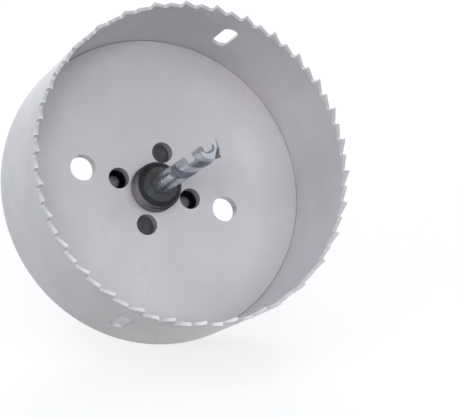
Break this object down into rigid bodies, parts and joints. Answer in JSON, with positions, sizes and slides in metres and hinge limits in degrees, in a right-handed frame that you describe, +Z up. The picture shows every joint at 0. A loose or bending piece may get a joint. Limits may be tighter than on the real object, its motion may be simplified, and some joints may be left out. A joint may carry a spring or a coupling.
{
  "type": "hole saw",
  "caption": "Cup-shaped hole saw with a toothed rim, screwed to a hex-shank arbor with a twist pilot drill, drive plate and lock nut.",
  "frame": {"origin": "on the surface the tool rests on, under the centre of its box", "axes": "+Z up; the mouth of the saw faces -Y and up, the shank points to +Y and down"},
  "size_m": [0.1021, 0.1401, 0.1099],
  "materials": {
    "painted_steel": "glossy pale grey enamel",
    "painted_teeth": "glossy pale grey enamel, bare at the tips",
    "black_oxide": "black oxide, oiled",
    "machined_steel": "turned steel",
    "bright_steel": "ground bright steel"
  },
  "bodies": {
    "saw": {"back_plate": "painted_steel", "saw_wall": "painted_steel", "cutting_edge": "painted_teeth", "arbor_body": "black_oxide", "pilot_drill": "bright_steel", "set_screw": "black_oxide"},
    "drive_plate": {"drive_plate": "black_oxide", "drive_pins": "machined_steel"},
    "lock_nut": {"lock_nut": "black_oxide"}
  },
  "joints": [
    {"name": "drive_plate_slide", "type": "slide", "parent": "saw", "child": "drive_plate", "axis": [0, -0.8849, 0.4658], "range_m": [-0.008, 0.0058]},
    {"name": "lock_nut_turn", "type": "hinge", "parent": "drive_plate", "child": "lock_nut", "pos_m": [0, 0.01243, 0.03388], "axis": [0, -0.8849, 0.4658], "range_deg": [-2042, 1481]}
  ],
  "couplings": [
    {"joint": "lock_nut_turn", "follows": "drive_plate_slide", "rad_per_m": 4452.7}
  ]
}
